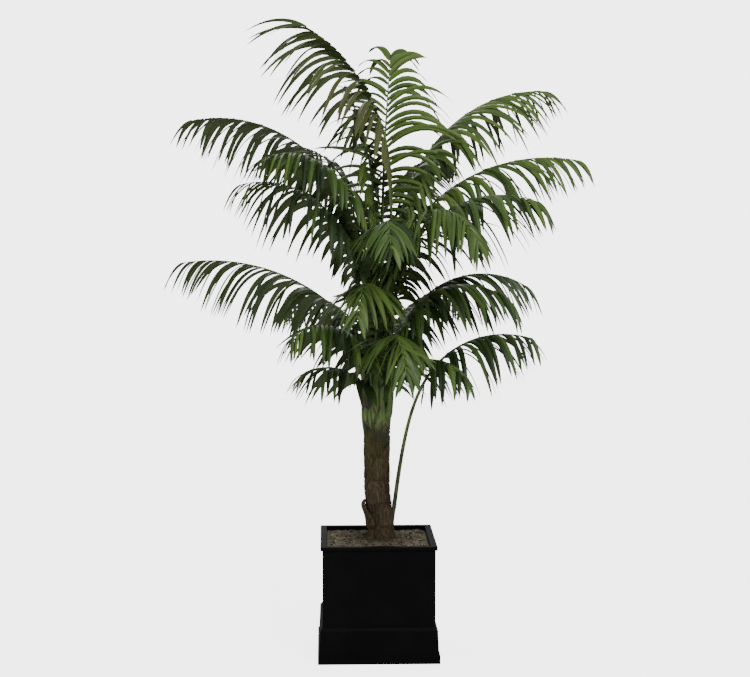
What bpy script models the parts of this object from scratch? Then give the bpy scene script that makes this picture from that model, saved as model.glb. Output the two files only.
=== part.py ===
"""A kentia palm 2.2 m tall in a square planter, at its real size in metres.

The origin is the centre of the planter's flat underside, with +Z up. The plant's front faces -Y
and its right-hand side, seen from the front, is +X. Headings are degrees from +X towards +Y, and
a lean is degrees from upright.
"""
import bpy
import bmesh
import numpy as np
from collections import namedtuple
from mathutils.bvhtree import BVHTree

GAP = 0.0003                   # left between solids that touch in life

# Planter: a straight square box with a lip round its top and a plinth round its foot
BOX_WIDTH = 0.387
BOX_HEIGHT = 0.392
WALL = 0.016
FLOOR = 0.020
LIP_WIDTH = 0.400
LIP_HEIGHT = 0.013
PLINTH_TOP_WIDTH = 0.404
PLINTH_WIDTH = 0.412
PLINTH_HEIGHT = 0.125
PLINTH_BEVEL = 0.010
FOOT_WIDTH = 0.420
FOOT_HEIGHT = 0.028
EDGE_ROUND = 0.0015
EDGE_ANGLE = 0.6               # radians: flatter edges stay as they are

# Soil: level at the walls, with a low flat mound that the trunk stands on
SOIL_LEVEL = 0.391
MOUND_TOP = 0.398
MOUND_RADIUS = 0.088
SOIL_STEPS = 8                 # grid squares along each side of the top

# Trunk and crown shaft: (height, centre x, radius) of each ring, foot to top. The trunk flares
# at the soil and the two meet where the brown fibre gives way to green sheaths.
TRUNK_RINGS = (
    (0.398, 0.006, 0.063),
    (0.418, 0.006, 0.058),
    (0.445, 0.006, 0.052),
    (0.475, 0.005, 0.049),
    (0.515, 0.002, 0.046),
    (0.570, 0.001, 0.044),
    (0.640, -0.001, 0.042),
    (0.700, 0.000, 0.043),
    (0.740, 0.001, 0.045),
)
SHAFT_RINGS = (
    (0.740, 0.001, 0.045),
    (0.820, 0.003, 0.042),
    (0.920, 0.006, 0.038),
    (1.020, 0.008, 0.034),
    (1.100, 0.008, 0.031),
    (1.160, 0.008, 0.026),
    (1.190, 0.008, 0.012),
)
TWELVE_SIDES = 4               # bevel resolutions
SIX_SIDES = 1
LEAF_SCARS = ((188, 0.500, 0.062), (250, 0.570, 0.052), (30, 0.640, 0.048))  # heading, z, reach
SCAR_RADII = (0.016, 0.013, 0.004)
SCAR_BELOW = 0.030             # the old leaf base starts this far under its knee
SCAR_ABOVE = 0.035             # and its tip stands this far over it

# Leaf stalks and their clasping sheaths
STALK_FOOT_RADIUS = 0.0080
STALK_END_RADIUS = 0.0048
STALK_CLEAR = 0.003            # a stalk leaves its sheath this far outside the shaft
STALK_POINTS = 8
END_LENGTH = 0.006             # where two pieces meet, their last stretches are in line
SHEATH_BELOW = 0.045           # the sheath starts this far under the leaf's foot
SHEATH_RADIUS = 0.012
STALK_BEND_POWER = 3.0         # the stalk bends mostly near its blade, the blade evenly

# Blades: a rib with leaflets in pairs
RIB_HALF_WIDTH = 0.0055
RIB_TIP_HALF_WIDTH = 0.0015
RIB_THICKNESS = 0.0080
LEAFLET_THICKNESS = 0.0027
LEAFLET_PITCH = 0.060
TOOTH_SHARE = 0.54             # of the pitch that is leaflet, the rest is cut to the rib
LEAFLET_TAPER = (1.0, 0.86, 0.62)
BARE_RIB = 0.008               # before the first pair of leaflets
FOOT_ANGLE = 60                # degrees between a leaflet and the rib, near the stalk
TIP_ANGLE = 28
LEAFLET_LIFT = 0.15             # how far leaflets stand up out of the blade's face
END_FULLNESS = 0.70            # a leaflet's length at the blade's foot, as a share of the longest
LONGEST_AT = 0.425             # share of the blade at which the leaflets are longest
TIP_SHORTENING = 0.25
DROOP_AT_RIB = 0.05            # a leaflet's pull down at its rib and how much it gains on its way
DROOP_GAIN = 1.6
TEST_CLEARANCE = 0.0008
RIB_TEST_POINTS = 24
TRIED_LENGTHS = (1.0, 0.8, 0.6)
TRIED_TURNS = (0, 7, -7, 14, -14)

Leaf = namedtuple("Leaf", "name heading foot_heading foot_radius foot_height lean_foot stalk "
                          "lean_stalk blade lean_tip leaflet droop roll")

# Lower tier, middle and upper tier, each as: name, heading, heading and radius of its foot, foot
# height, lean at the foot, stalk length, lean at the blade, blade length, lean at the tip, longest
# leaflet, droop of the leaflets, roll of the blade
LEAVES = (
    Leaf("left_low", 188, 180, 0.035, 0.800, 2, 0.38, 42, 0.64, 96, 0.31, 1.6, 0),
    Leaf("right_low", 12, 12, 0.035, 0.825, 4, 0.37, 34, 0.50, 124, 0.29, 1.5, 0),
    Leaf("right_lowest", -28, -10, 0.046, 0.490, 9, 0.53, 38, 0.41, 103, 0.27, 1.4, 0),
    Leaf("right_inner", -18, -22, 0.035, 0.870, 7, 0.33, 33, 0.43, 138, 0.25, 1.3, 0),
    Leaf("front_right_low", -48, -50, 0.035, 0.800, 5, 0.18, 44, 0.44, 148, 0.26, 1.2, 0),
    Leaf("front_low", -82, -82, 0.035, 0.800, 5, 0.24, 36, 0.48, 146, 0.23, 1.0, 0),
    Leaf("front_left_low", -120, -124, 0.035, 0.800, 4, 0.26, 38, 0.48, 146, 0.27, 1.1, 0),
    Leaf("left_lowest", -138, -152, 0.035, 0.800, 4, 0.16, 50, 0.36, 138, 0.25, 1.4, 0),
    Leaf("back_right_low", 58, 58, 0.035, 0.800, 5, 0.30, 40, 0.60, 120, 0.24, 1.3, 0),
    Leaf("back_left_low", 122, 122, 0.035, 0.800, 5, 0.28, 40, 0.62, 120, 0.24, 1.3, 0),
    Leaf("front_middle", -100, -106, 0.036, 0.930, 6, 0.28, 34, 0.46, 144, 0.22, 1.0, 0),
    Leaf("left_middle", 208, 200, 0.035, 1.020, 8, 0.45, 28, 0.47, 104, 0.28, 1.6, 0),
    Leaf("left_high", 170, 158, 0.035, 1.050, 5, 0.60, 30, 0.61, 100, 0.29, 1.6, 0),
    Leaf("top_left", 188, -70, 0.013, 1.140, -4, 0.73, 25, 0.41, 56, 0.38, 1.1, -30),
    Leaf("top", 70, 60, 0.013, 1.150, 1, 0.45, 5, 0.50, 16, 0.26, 0.9, 0),
    Leaf("inner", 165, 180, 0.013, 1.150, 0, 0.46, 5, 0.36, 23, 0.22, 1.1, 0),
    Leaf("right_high", 20, 26, 0.033, 1.150, 6, 0.56, 28, 0.59, 92, 0.29, 1.3, 10),
    Leaf("right_middle", -6, -8, 0.035, 1.100, 7, 0.48, 44, 0.57, 106, 0.28, 1.5, 0),
    Leaf("right_front", -38, -38, 0.035, 1.050, 8, 0.44, 34, 0.50, 122, 0.29, 1.4, 15),
    Leaf("front_right", -56, -63, 0.035, 1.050, 7, 0.38, 28, 0.52, 146, 0.27, 1.0, 0),
    Leaf("front", -88, -87, 0.035, 1.050, 5, 0.34, 30, 0.50, 138, 0.22, 0.9, 0),
    Leaf("front_left", -142, -131, 0.035, 1.050, 7, 0.52, 22, 0.48, 118, 0.22, 1.2, 0),
    Leaf("back_right", 55, 62, 0.035, 1.100, 7, 0.42, 26, 0.60, 111, 0.23, 1.1, 0),
    Leaf("back_left", 130, 128, 0.035, 1.100, 7, 0.46, 24, 0.58, 111, 0.23, 1.1, 0),
    Leaf("back", 95, 94, 0.035, 1.050, 7, 0.30, 34, 0.60, 121, 0.23, 1.1, 0),
)
CROWN_X = 0.008                # centre of the crown, where the leaves' feet are set out from
UP = np.array([0.0, 0.0, 1.0])

BLACK = (0.012, 0.012, 0.013)
EARTH = (0.050, 0.040, 0.030)
FIBRE = (0.120, 0.090, 0.060)
SHEATH_GREEN = (0.085, 0.115, 0.050)
STALK_GREEN = (0.060, 0.105, 0.030)
LEAF_GREEN = (0.022, 0.065, 0.015)


def clear_scene():
    for item in list(bpy.data.objects):
        bpy.data.objects.remove(item, do_unlink=True)


def new_material(name, colour, roughness, metallic=0.0):
    material = bpy.data.materials.new(name)
    material.use_nodes = True
    shader = material.node_tree.nodes["Principled BSDF"]
    shader.inputs["Base Color"].default_value = (*colour, 1.0)
    shader.inputs["Roughness"].default_value = roughness
    shader.inputs["Metallic"].default_value = metallic
    material.diffuse_color = (*colour, 1.0)
    return material


def add_object(name, data, material, collection):
    item = bpy.data.objects.new(name, data)
    data.materials.append(material)
    collection.objects.link(item)
    return item


def mesh_of(item):
    """A mesh copy of an object as the viewport shows it, with coincident points joined."""
    graph = bpy.context.evaluated_depsgraph_get()
    mesh = bpy.data.meshes.new_from_object(item.evaluated_get(graph))
    work = bmesh.new()
    work.from_mesh(mesh)
    bmesh.ops.remove_doubles(work, verts=work.verts, dist=1e-6)
    bmesh.ops.recalc_face_normals(work, faces=work.faces)
    work.to_mesh(mesh)
    work.free()
    return mesh


def soften_edges(mesh):
    """A small flat bevel on the outward edges, which leaves inner corners sharp."""
    work = bmesh.new()
    work.from_mesh(mesh)
    edges = [edge for edge in work.edges if edge.is_convex and edge.calc_face_angle() > EDGE_ANGLE]
    bmesh.ops.bevel(work, geom=edges, offset=EDGE_ROUND, segments=1, affect="EDGES")
    work.to_mesh(mesh)
    work.free()


def square_turned(name, profile, closed, material, collection):
    """A profile of (half width, height) points carried round a square in four steps."""
    work = bmesh.new()
    corners = [work.verts.new((half, half, height)) for half, height in profile]
    for first, second in zip(corners, corners[1:]):
        work.edges.new((first, second))
    if closed:
        work.edges.new((corners[-1], corners[0]))
    mesh = bpy.data.meshes.new(name)
    work.to_mesh(mesh)
    work.free()
    item = add_object(name, mesh, material, collection)
    screw = item.modifiers.new("four sides", "SCREW")
    screw.steps = 4
    screw.render_steps = 4
    screw.use_merge_vertices = True
    screw.merge_threshold = 1e-5
    screw.use_smooth_shade = False
    whole = mesh_of(item)
    item.modifiers.clear()
    soften_edges(whole)
    item.data = whole
    return item


def tube(name, points, radii, resolution, material, collection):
    """A round tube on a straight-segment spline, with its own radius at each point."""
    curve = bpy.data.curves.new(name, "CURVE")
    curve.dimensions = "3D"
    curve.bevel_depth = 1.0
    curve.bevel_resolution = resolution
    curve.use_fill_caps = True
    spline = curve.splines.new("POLY")
    spline.points.add(len(points) - 1)
    for knot, point, radius in zip(spline.points, points, radii):
        knot.co = (*point, 1.0)
        knot.radius = radius
    return add_object(name, curve, material, collection)


def fuse(name, items, material, collection):
    """One solid from overlapping tubes, by a single union of the later ones with the first."""
    solids = []
    for item in items:
        solid = add_object(item.name + "_solid", mesh_of(item), material, collection)
        bpy.data.objects.remove(item, do_unlink=True)
        solids.append(solid)
    joined = bpy.data.collections.new(name + "_parts")
    bpy.context.scene.collection.children.link(joined)
    for solid in solids[1:]:
        collection.objects.unlink(solid)
        joined.objects.link(solid)
    union = solids[0].modifiers.new("union", "BOOLEAN")
    union.operation = "UNION"
    union.operand_type = "COLLECTION"
    union.collection = joined
    union.solver = "EXACT"
    whole = add_object(name, mesh_of(solids[0]), material, collection)
    for solid in solids:
        bpy.data.objects.remove(solid, do_unlink=True)
    bpy.data.collections.remove(joined)
    return whole


def ring_tube(name, rings, lift, drop, material, collection):
    """An upright limb through (height, centre x, radius) rings, cut short at both flat ends."""
    heights = [ring[0] for ring in rings]
    heights[0] += lift
    heights[-1] -= drop
    points = [(ring[1], 0.0, height) for ring, height in zip(rings, heights)]
    radii = [ring[2] for ring in rings]
    return tube(name, points, radii, TWELVE_SIDES, material, collection)


def limb_at(rings, height):
    """Centre x and radius of a ringed limb at a height."""
    heights = [ring[0] for ring in rings]
    centre = np.interp(height, heights, [ring[1] for ring in rings])
    radius = np.interp(height, heights, [ring[2] for ring in rings], right=0.0)
    return centre, radius


def direction(heading):
    return np.array([np.cos(np.radians(heading)), np.sin(np.radians(heading)), 0.0])


class Line:
    """A leaf's centre line, from its foot along its stalk and blade to its tip.

    Its lean grows with a power of the distance along the stalk, and then evenly along the blade,
    so that the stalk rises nearly straight and the blade arches.
    """

    def __init__(self, leaf, steps=240):
        self.leaf = leaf
        self.length = leaf.stalk + leaf.blade
        self.marks = np.linspace(0.0, self.length, steps)
        middle = (self.marks[1:] + self.marks[:-1]) / 2
        on_stalk = np.clip(middle / leaf.stalk, 0, 1)
        on_blade = np.clip((middle - leaf.stalk) / leaf.blade, 0, 1)
        stalk_bend = (leaf.lean_stalk - leaf.lean_foot) * on_stalk**STALK_BEND_POWER
        blade_bend = (leaf.lean_tip - leaf.lean_stalk) * on_blade
        lean = np.radians(leaf.lean_foot + stalk_bend + blade_bend)
        step = self.length / (steps - 1)
        out = np.concatenate([[0.0], np.cumsum(np.sin(lean) * step)])
        up = np.concatenate([[0.0], np.cumsum(np.cos(lean) * step)])
        foot = np.array([CROWN_X, 0.0, leaf.foot_height])
        foot += leaf.foot_radius * direction(leaf.foot_heading)
        self.points = foot + out[:, None] * direction(leaf.heading) + up[:, None] * UP

    def at(self, mark):
        return np.array([np.interp(mark, self.marks, self.points[:, axis]) for axis in range(3)])

    def axes(self, mark):
        """Unit vectors at a mark: along the line, to its right-hand side and out of its face."""
        near = self.at(max(mark - END_LENGTH, 0.0))
        far = self.at(min(mark + END_LENGTH, self.length))
        along = (far - near) / np.linalg.norm(far - near)
        flat_side = np.cross(direction(self.leaf.heading), UP)
        flat_face = np.cross(flat_side, along)
        turn = np.radians(self.leaf.roll)
        side = flat_side * np.cos(turn) + flat_face * np.sin(turn)
        face = flat_face * np.cos(turn) - flat_side * np.sin(turn)
        return along, side, face

    def radius(self, mark):
        share = min(mark / self.leaf.stalk, 1.0)
        return STALK_FOOT_RADIUS + (STALK_END_RADIUS - STALK_FOOT_RADIUS) * share

    def free_mark(self):
        """Where the stalk has come clear of the limb that it springs from."""
        rings = SHAFT_RINGS if self.leaf.foot_height > TRUNK_RINGS[-1][0] else TRUNK_RINGS
        for mark, point in zip(self.marks, self.points):
            centre, limb_radius = limb_at(rings, point[2])
            outward = np.hypot(point[0] - centre, point[1])
            if outward > limb_radius + self.radius(mark) + STALK_CLEAR:
                return mark
        return self.length


def sheath_tube(line, collection, material):
    """The clasping foot of a leaf: a tapering tube from inside the limb to the free stalk."""
    leaf = line.leaf
    free = line.free_mark()
    inside = np.array([CROWN_X, 0.0, leaf.foot_height - SHEATH_BELOW])
    inside += 0.4 * leaf.foot_radius * direction(leaf.foot_heading)
    marks = (0.0, 0.4 * free, max(free - END_LENGTH, 0.7 * free), free)
    thinned = (0.35, 0.70, 1.0, 1.0)
    points = [inside] + [line.at(mark) for mark in marks]
    radii = [SHEATH_RADIUS]
    radii += [SHEATH_RADIUS + (line.radius(free) - SHEATH_RADIUS) * share for share in thinned]
    return tube("sheath_" + leaf.name, points, radii, SIX_SIDES, material, collection)


def stalk_tube(line, collection, material):
    """The free part of a leaf stalk, tapering from its sheath to its blade."""
    start = line.free_mark() + GAP
    end = line.leaf.stalk - GAP
    middle = np.linspace(start + END_LENGTH, end - END_LENGTH, STALK_POINTS - 2)
    marks = [start, *middle, end]
    points = [line.at(mark) for mark in marks]
    radii = [line.radius(mark) for mark in marks]
    return tube("stalk_" + line.leaf.name, points, radii, SIX_SIDES, material, collection)


def leaflet_rows(line, share, side, turn=0.0, scale=1.0):
    """Centre points of one leaflet, from the rib's edge to its tip.

    It leaves the rib nearly square near the stalk and more along it at the tip, lifts a little
    out of the blade's face, and bends down more and more with the distance along it.
    """
    leaf = line.leaf
    mark = leaf.stalk + share * leaf.blade
    along, across, face = line.axes(mark)
    angle = np.radians(FOOT_ANGLE + (TIP_ANGLE - FOOT_ANGLE) * share + turn)
    outward = side * across + LEAFLET_LIFT * face
    start = along * np.cos(angle) + outward * np.sin(angle)
    start /= np.linalg.norm(start)
    swell = np.sin(np.pi / 2 * min(2.0, share / LONGEST_AT))
    fullness = END_FULLNESS + (1 - END_FULLNESS) * swell
    length = scale * leaf.leaflet * fullness * (1 - TIP_SHORTENING * share**3)
    steps = len(LEAFLET_TAPER)
    rows = [line.at(mark) + across * side * rib_half_width(share)]
    for step in range(steps):
        bend = leaf.droop * (DROOP_AT_RIB + DROOP_GAIN * (step + 0.5) / steps)
        way = start - bend * UP
        rows.append(rows[-1] + way / np.linalg.norm(way) * length / steps)
    return rows


def rib_half_width(share):
    return RIB_HALF_WIDTH + (RIB_TIP_HALF_WIDTH - RIB_HALF_WIDTH) * share


def prism(rows, half_widths, half_depths, sides, faces_out):
    """A test shape round a row of points: a closed four-sided tube with its own size at each."""
    corners = []
    for row, width, depth, side, out in zip(rows, half_widths, half_depths, sides, faces_out):
        for a, b in ((-1, -1), (1, -1), (1, 1), (-1, 1)):
            corners.append(row + a * width * side + b * depth * out)
    faces = [(0, 1, 2, 3), tuple(range(len(corners) - 4, len(corners)))]
    for start in range(0, len(corners) - 4, 4):
        for edge in range(4):
            after = (edge + 1) % 4
            faces.append((start + edge, start + after, start + 4 + after, start + 4 + edge))
    return BVHTree.FromPolygons([tuple(corner) for corner in corners], faces)


def leaflet_test_shape(line, share, rows, half_tooth):
    """A little more room than the leaflet takes, which must be clear of all else."""
    along = line.axes(line.leaf.stalk + share * line.leaf.blade)[0]
    face = np.cross(along, rows[-1] - rows[0])
    face /= np.linalg.norm(face)
    first = rows[0] + 0.08 * (rows[1] - rows[0])
    widths = [half_tooth * taper + TEST_CLEARANCE for taper in (*LEAFLET_TAPER, 0.0)]
    thin = LEAFLET_THICKNESS / 2 + TEST_CLEARANCE
    depths = [RIB_THICKNESS / 2] + [thin] * len(LEAFLET_TAPER)
    return prism([first] + rows[1:], widths, depths, [along] * len(rows), [face] * len(rows))


def rib_test_shape(line):
    """A tube round the free stalk and the rib, which no other leaf's leaflets may touch."""
    marks = np.linspace(line.free_mark(), line.length, RIB_TEST_POINTS)
    sizes = [max(line.radius(mark), RIB_HALF_WIDTH) + TEST_CLEARANCE for mark in marks]
    axes = [line.axes(mark) for mark in marks]
    return prism([line.at(mark) for mark in marks], sizes, sizes,
                 [side for along, side, out in axes], [out for along, side, out in axes])


def fitting_leaflet(line, share, side, half_tooth, obstacles):
    """A leaflet's rows and room, turned or shortened until it is clear of all else, or None."""
    for scale in TRIED_LENGTHS:
        for turn in TRIED_TURNS:
            rows = leaflet_rows(line, share, side, turn, scale)
            room = leaflet_test_shape(line, share, rows, half_tooth)
            if not any(room.overlap(other) for other in obstacles):
                return rows, room
    return None, None


def blade(line, obstacles, collection, material):
    """A frond's blade: the rib as a strip, with a toothed edge of leaflets on both sides.

    Each leaflet's room is added to the obstacles, for the leaflets that follow it.
    """
    leaf = line.leaf
    pairs = int(round(leaf.blade / LEAFLET_PITCH)) + 1
    pitch = (leaf.blade - BARE_RIB) / (pairs - 1 + TOOTH_SHARE)
    half_tooth = TOOTH_SHARE * pitch / 2
    shares = [(BARE_RIB + half_tooth + pitch * number) / leaf.blade for number in range(pairs)]
    work = bmesh.new()
    stations = [leaf.stalk + GAP]
    for share in shares:
        centre = leaf.stalk + share * leaf.blade
        stations += [centre - half_tooth, centre + half_tooth]
    edges = {-1: [], 1: []}
    for mark in stations:
        share = (mark - leaf.stalk) / leaf.blade
        across = line.axes(mark)[1]
        for side in (-1, 1):
            place = line.at(mark) + side * rib_half_width(share) * across
            edges[side].append(work.verts.new(place))
    rib = set(edges[-1] + edges[1])
    for place in range(len(stations) - 1):
        work.faces.new((edges[-1][place], edges[1][place],
                        edges[1][place + 1], edges[-1][place + 1]))
    for number, share in enumerate(shares):
        along = line.axes(leaf.stalk + share * leaf.blade)[0]
        for side in (-1, 1):
            rows, room = fitting_leaflet(line, share, side, half_tooth, obstacles)
            if rows is None:
                continue
            obstacles.append(room)
            near = edges[side][2 * number + 1]
            far = edges[side][2 * number + 2]
            for row, taper in zip(rows[1:-1], LEAFLET_TAPER[1:]):
                next_near = work.verts.new(row - along * half_tooth * taper)
                next_far = work.verts.new(row + along * half_tooth * taper)
                work.faces.new((near, far, next_far, next_near))
                near, far = next_near, next_far
            work.faces.new((near, far, work.verts.new(rows[-1])))
    bmesh.ops.recalc_face_normals(work, faces=work.faces)
    work.verts.index_update()
    rib_numbers = [vert.index for vert in rib]
    mesh = bpy.data.meshes.new("frond_" + leaf.name)
    work.to_mesh(mesh)
    work.free()
    item = add_object("frond_" + leaf.name, mesh, material, collection)
    group = item.vertex_groups.new(name="rib")
    group.add(rib_numbers, 1.0, "REPLACE")
    shell = item.modifiers.new("thickness", "SOLIDIFY")
    shell.thickness = RIB_THICKNESS
    shell.offset = 0.0
    shell.vertex_group = group.name
    shell.thickness_vertex_group = LEAFLET_THICKNESS / RIB_THICKNESS
    return item


def planter(collection, material):
    half = BOX_WIDTH / 2
    inner = half - WALL
    top = BOX_HEIGHT - GAP
    box = ((0.0, 0.0), (half, 0.0), (half, top), (inner, top), (inner, FLOOR), (0.0, FLOOR))
    square_turned("planter_box", box, False, material, collection)
    lip_half = LIP_WIDTH / 2
    lip_top = BOX_HEIGHT + LIP_HEIGHT
    lip = ((lip_half, BOX_HEIGHT), (lip_half, lip_top), (inner, lip_top), (inner, BOX_HEIGHT))
    square_turned("planter_lip", lip, True, material, collection)
    seat = half + GAP
    plinth = ((seat, 0.0), (FOOT_WIDTH / 2, 0.0), (FOOT_WIDTH / 2, FOOT_HEIGHT),
              (PLINTH_WIDTH / 2, FOOT_HEIGHT),
              (PLINTH_TOP_WIDTH / 2, PLINTH_HEIGHT - PLINTH_BEVEL), (seat, PLINTH_HEIGHT))
    square_turned("planter_plinth", plinth, True, material, collection)


def soil(collection, material):
    """The soil block, its top a grid that rises to the flat mound by a cosine slope."""
    half = BOX_WIDTH / 2 - WALL - GAP
    work = bmesh.new()
    bmesh.ops.create_cube(work, size=1.0)
    for vert in work.verts:
        vert.co.x *= 2 * half
        vert.co.y *= 2 * half
        vert.co.z = SOIL_LEVEL if vert.co.z > 0 else FLOOR + GAP
    middle = SOIL_LEVEL / 2
    top_edges = [edge for edge in work.edges if min(vert.co.z for vert in edge.verts) > middle]
    bmesh.ops.subdivide_edges(work, edges=top_edges, cuts=SOIL_STEPS - 1, use_grid_fill=True)
    for vert in work.verts:
        if vert.co.z < middle:
            continue
        out = (np.hypot(vert.co.x, vert.co.y) - MOUND_RADIUS) / (half - MOUND_RADIUS)
        slope = (1 + np.cos(np.pi * np.clip(out, 0.0, 1.0))) / 2
        vert.co.z = SOIL_LEVEL + (MOUND_TOP - SOIL_LEVEL) * slope
    mesh = bpy.data.meshes.new("soil")
    work.to_mesh(mesh)
    work.free()
    return add_object("soil", mesh, material, collection)


def trunk(lines, collection, fibre):
    """The fibrous lower trunk with its flare, three old leaf scars and the lowest leaf's foot."""
    pieces = [ring_tube("trunk_core", TRUNK_RINGS, GAP, GAP, fibre, collection)]
    for heading, height, reach in LEAF_SCARS:
        out = direction(heading)
        foot = 0.4 * reach * out + (height - SCAR_BELOW) * UP
        knee = 0.85 * reach * out + height * UP
        tip = reach * out + (height + SCAR_ABOVE) * UP
        name = "scar_" + str(heading)
        pieces.append(tube(name, (foot, knee, tip), SCAR_RADII, SIX_SIDES, fibre, collection))
    pieces += [sheath_tube(line, collection, fibre) for line in lines]
    return fuse("trunk", pieces, fibre, collection)


def crown_shaft(lines, collection, green):
    """The green column above the trunk, with the clasping feet of the leaves fused to it."""
    pieces = [ring_tube("shaft_core", SHAFT_RINGS, GAP, 0.0, green, collection)]
    pieces += [sheath_tube(line, collection, green) for line in lines]
    return fuse("crown_shaft", pieces, green, collection)


def build():
    clear_scene()
    palm = bpy.data.collections.new("kentia_palm")
    bpy.context.scene.collection.children.link(palm)
    black = new_material("black_satin", BLACK, 0.45)
    earth = new_material("potting_soil", EARTH, 0.95)
    fibre = new_material("trunk_fibre", FIBRE, 0.90)
    sheath_green = new_material("sheath_green", SHEATH_GREEN, 0.60)
    stalk_green = new_material("stalk_green", STALK_GREEN, 0.50)
    leaf_green = new_material("leaf_green", LEAF_GREEN, 0.50)

    planter(palm, black)
    soil(palm, earth)
    lines = [Line(leaf) for leaf in LEAVES]
    joint_height = TRUNK_RINGS[-1][0]
    stem = trunk([line for line in lines if line.leaf.foot_height < joint_height], palm, fibre)
    shaft = crown_shaft([line for line in lines if line.leaf.foot_height > joint_height],
                        palm, sheath_green)
    for line in lines:
        stalk_tube(line, palm, stalk_green)

    graph = bpy.context.evaluated_depsgraph_get()
    limbs = [BVHTree.FromObject(item, graph) for item in (stem, shaft)]
    ribs = {line.leaf.name: rib_test_shape(line) for line in lines}
    rooms = []
    for line in lines:
        others = [rib for name, rib in ribs.items() if name != line.leaf.name]
        obstacles = limbs + others + rooms
        known = len(obstacles)
        blade(line, obstacles, palm, leaf_green)
        rooms += obstacles[known:]


build()
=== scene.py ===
"""The looks of a kentia palm in a square planter, dressed round its fixed frame.

Everything is in metres in the frame's own axes: +Z up, -Y the plant's front, +X its right-hand
side. Headings are degrees from +X towards +Y, and a lean is degrees from upright.
"""
from collections import namedtuple
import bpy
import numpy as np
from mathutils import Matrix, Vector


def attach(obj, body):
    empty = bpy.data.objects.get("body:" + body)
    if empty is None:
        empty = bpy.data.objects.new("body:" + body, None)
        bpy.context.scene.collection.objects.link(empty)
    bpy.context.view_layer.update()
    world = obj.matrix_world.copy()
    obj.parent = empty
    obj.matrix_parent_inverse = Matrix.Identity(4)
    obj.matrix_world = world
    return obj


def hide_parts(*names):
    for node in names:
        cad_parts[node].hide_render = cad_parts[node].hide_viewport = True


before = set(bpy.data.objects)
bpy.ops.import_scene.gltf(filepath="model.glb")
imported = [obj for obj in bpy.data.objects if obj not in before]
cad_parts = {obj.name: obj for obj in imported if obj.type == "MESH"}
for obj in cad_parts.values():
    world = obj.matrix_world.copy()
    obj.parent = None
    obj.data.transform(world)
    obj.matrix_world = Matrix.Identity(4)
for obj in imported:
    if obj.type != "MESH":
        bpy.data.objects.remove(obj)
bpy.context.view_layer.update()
BODY = "root"


# The planter is a straight square box of near-black satin plastic, moulded in one wall with eased
# corners. A lip is set on its top edge and a plinth round its foot.

BOX_WIDTH = 0.387
BOX_HEIGHT = 0.3917
WALL = 0.016
FLOOR_THICKNESS = 0.020
CORNER_EASE = 0.0030
EDGE_EASE = 0.0016


class Value:
    """What a node gives out. Arithmetic on it adds Math nodes."""

    def __init__(self, nodes, socket):
        self.nodes = nodes
        self.socket = socket

    def _math(self, operation, first, second):
        return self.nodes.node("Math", {"operation": operation}, {0: first, 1: second})

    def __add__(self, other):
        return self._math("ADD", self, other)

    __radd__ = __add__

    def __sub__(self, other):
        return self._math("SUBTRACT", self, other)

    def __rsub__(self, other):
        return self._math("SUBTRACT", other, self)

    def __mul__(self, other):
        return self._math("MULTIPLY", self, other)

    __rmul__ = __mul__


class Nodes:
    """The nodes of one material or of the world."""

    def __init__(self, tree):
        self.tree = tree

    def node(self, kind, settings, sockets, out=0):
        """Adds a node of a kind, sets it, feeds its sockets and gives back one output."""
        made = self.tree.nodes.new("ShaderNode" + kind)
        stops = settings.pop("stops", ())
        for name, setting in settings.items():
            setattr(made, name, setting)
        for number, (position, colour) in enumerate(stops):
            ramp = made.color_ramp.elements
            stop = ramp[number] if number < len(ramp) else ramp.new(position)
            stop.position = position
            stop.color = (*colour, 1.0)
        for name, value in sockets.items():
            self.join(value, made.inputs[name])
        return Value(self, made.outputs[out])

    def join(self, value, socket):
        """Links what a node gives out to a socket, or sets the socket to a constant."""
        if isinstance(value, Value):
            self.tree.links.new(value.socket, socket)
        else:
            socket.default_value = value


class Finish(Nodes):
    """A surface finish: one Principled shader and the nodes that feed it."""

    def __init__(self, name, colour, roughness, specular=0.5):
        self.material = bpy.data.materials.new(name)
        self.material.use_nodes = True
        super().__init__(self.material.node_tree)
        self.shader = self.tree.nodes["Principled BSDF"]
        self.shader.inputs["Base Color"].default_value = (*colour, 1.0)
        self.shader.inputs["Roughness"].default_value = roughness
        self.shader.inputs["Specular IOR Level"].default_value = specular
        self.material.diffuse_color = (*colour, 1.0)

    def feed(self, name, value):
        """Feeds one of the shader's own sockets."""
        self.join(value, self.shader.inputs[name])

    def place(self, stretch=(1.0, 1.0, 1.0)):
        """Object coordinates, scaled along each axis."""
        where = self.node("TexCoord", {}, {}, "Object")
        return self.node("Mapping", {}, {"Vector": where, "Scale": stretch})

    def noise(self, where, scale, detail=3.0, roughness=0.5):
        """A cloudy value between 0 and 1, finer as the scale grows."""
        return self.node("TexNoise", {}, {"Vector": where, "Scale": scale, "Detail": detail,
                                          "Roughness": roughness})

    def ramp(self, factor, *stops):
        """A colour that runs with the factor through stops of (position, colour)."""
        return self.node("ValToRGB", {"stops": stops}, {0: factor})

    def mix(self, factor, first, second):
        """The first colour, turned to the second as the factor goes from 0 to 1."""
        first = first if isinstance(first, Value) else (*first, 1.0)
        second = second if isinstance(second, Value) else (*second, 1.0)
        return self.node("Mix", {"data_type": "RGBA"}, {0: factor, 6: first, 7: second}, 2)

    def bump(self, height, distance, strength=1.0):
        """Relief in the shading only, a distance deep."""
        raised = self.node("Bump", {}, {"Strength": strength, "Distance": distance,
                                        "Height": height})
        self.feed("Normal", raised)


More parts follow.
